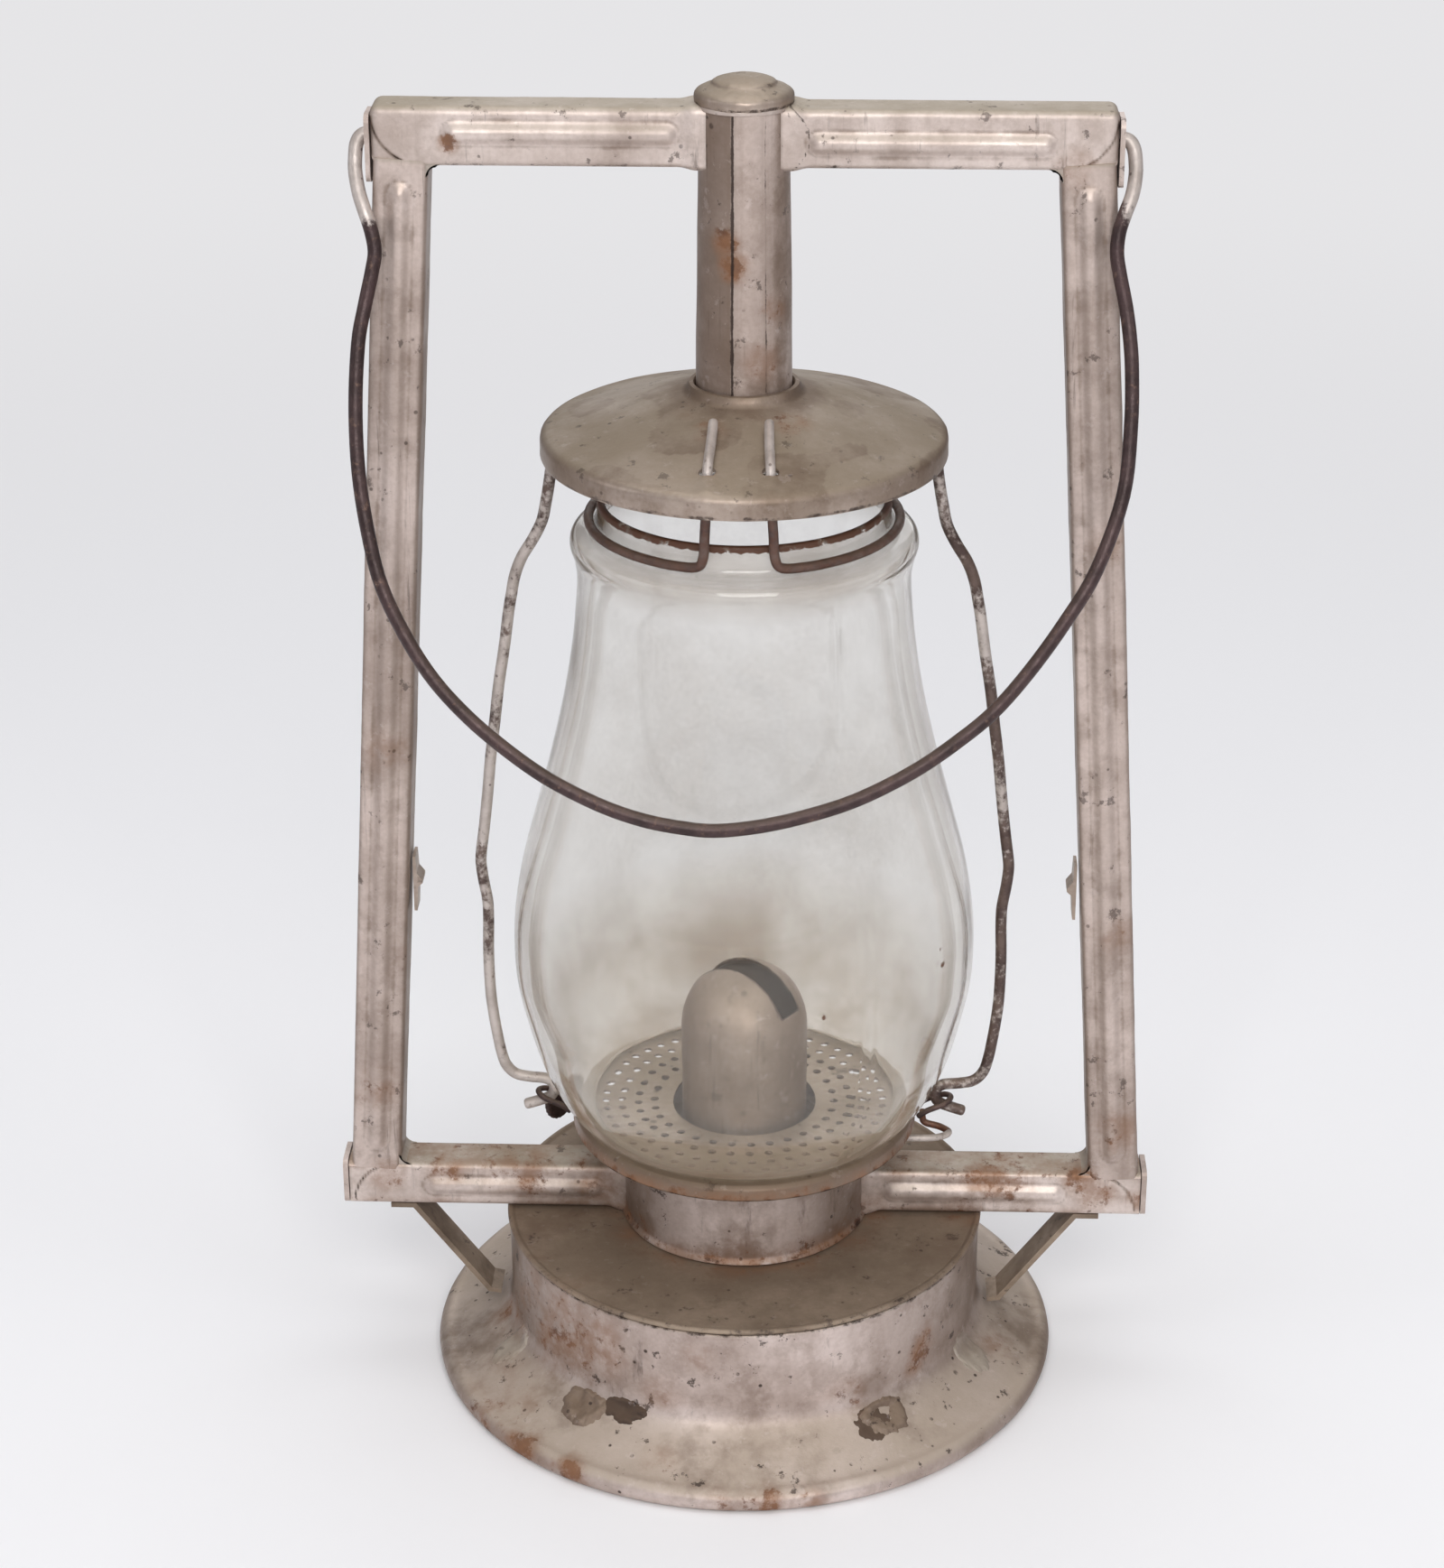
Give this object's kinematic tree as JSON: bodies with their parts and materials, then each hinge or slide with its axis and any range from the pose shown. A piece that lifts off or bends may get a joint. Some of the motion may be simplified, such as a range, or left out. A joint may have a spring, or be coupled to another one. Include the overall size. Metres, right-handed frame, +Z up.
{
  "type": "barn lantern",
  "caption": "Square-tube hot-blast kerosene barn lantern with a lifting glass globe cage, wire bail and round oil fount.",
  "frame": {"origin": "centre of the round base on the resting plane", "axes": "+Z up; the tube frame stands in the XZ plane; -Y is the front, where the bail hangs"},
  "size_m": [0.2204, 0.171, 0.3569],
  "materials": {
    "painted_tin": "worn aluminium paint over tinplate, satin",
    "painted_tin_dusty": "worn aluminium paint with brown dust and rust, matt",
    "bare_wire": "dark rusty steel wire, matt",
    "painted_wire": "aluminium paint on wire, worn to dark steel",
    "old_brass": "painted and tarnished sheet metal",
    "glass": "clear dusty glass",
    "wick_cotton": "charred cotton weave",
    "cork": "old cork"
  },
  "bodies": {
    "frame": {"bail_ear_left": "painted_tin", "bail_ear_right": "painted_tin", "brace_left": "painted_tin_dusty", "brace_right": "painted_tin_dusty", "burner_base": "old_brass", "burner_collar": "painted_tin_dusty", "burner_cone": "old_brass", "burner_deck": "painted_tin_dusty", "centre_tube": "painted_tin", "centre_tube_cap": "painted_tin_dusty", "filler_neck": "old_brass", "fount_body": "painted_tin", "fount_bottom": "painted_tin_dusty", "fount_top": "painted_tin_dusty", "guide_clip_left": "painted_tin", "guide_clip_right": "painted_tin", "loop_foot_left": "painted_tin_dusty", "loop_foot_right": "painted_tin_dusty", "lower_tube_left": "painted_tin", "lower_tube_right": "painted_tin", "side_tube_left": "painted_tin", "side_tube_right": "painted_tin", "tube_end_plate_left": "painted_tin", "tube_end_plate_right": "painted_tin", "upper_tube_left": "painted_tin", "upper_tube_right": "painted_tin", "wick_tube": "old_brass"},
    "bail": {"bail": "bare_wire"},
    "globe_cage": {"canopy": "painted_tin_dusty", "globe_ring": "bare_wire", "ring_hanger_rear": "bare_wire", "guard_wire_left": "painted_wire", "guard_wire_right": "painted_wire", "globe": "glass", "globe_plate": "painted_tin_dusty", "plate_loop_left": "bare_wire", "plate_loop_right": "bare_wire", "latch_loop": "bare_wire"},
    "wick_raiser": {"wick_knob": "bare_wire", "wick_shaft": "bare_wire", "wick_wheel_left": "old_brass", "wick_wheel_right": "old_brass"},
    "wick": {"wick": "wick_cotton"},
    "filler_gasket": {"filler_gasket": "cork"},
    "filler_cap": {"filler_cap": "old_brass"}
  },
  "joints": [
    {"name": "bail_swing", "type": "hinge", "parent": "frame", "child": "bail", "pos_m": [0, 0, 0.3416], "axis": [-1, 0, 0], "range_deg": [0, 313]},
    {"name": "globe_lift", "type": "slide", "parent": "frame", "child": "globe_cage", "axis": [0, 0, 1], "range_m": [0, 0.024]},
    {"name": "wick_knob_turn", "type": "hinge", "parent": "frame", "child": "wick_raiser", "pos_m": [-0.02799, 0.01198, 0.0574], "axis": [0.8387, -0.5446, 0], "range_deg": [-165, 60]},
    {"name": "wick_raise", "type": "slide", "parent": "frame", "child": "wick", "axis": [0, 0, 1], "range_m": [-0.011, 0.0038]},
    {"name": "filler_cap_rise", "type": "slide", "parent": "frame", "child": "filler_gasket", "axis": [0, 0, 1], "range_m": [0, 0.0061]},
    {"name": "filler_cap_turn", "type": "hinge", "parent": "filler_gasket", "child": "filler_cap", "pos_m": [0, 0.05, 0.05], "axis": [0, 0, 1], "range_deg": [0, 1080]}
  ],
  "couplings": [
    {"joint": "wick_knob_turn", "follows": "wick_raise", "rad_per_m": 250},
    {"joint": "filler_cap_rise", "follows": "filler_cap_turn", "m_per_rad": 0.00031831}
  ]
}
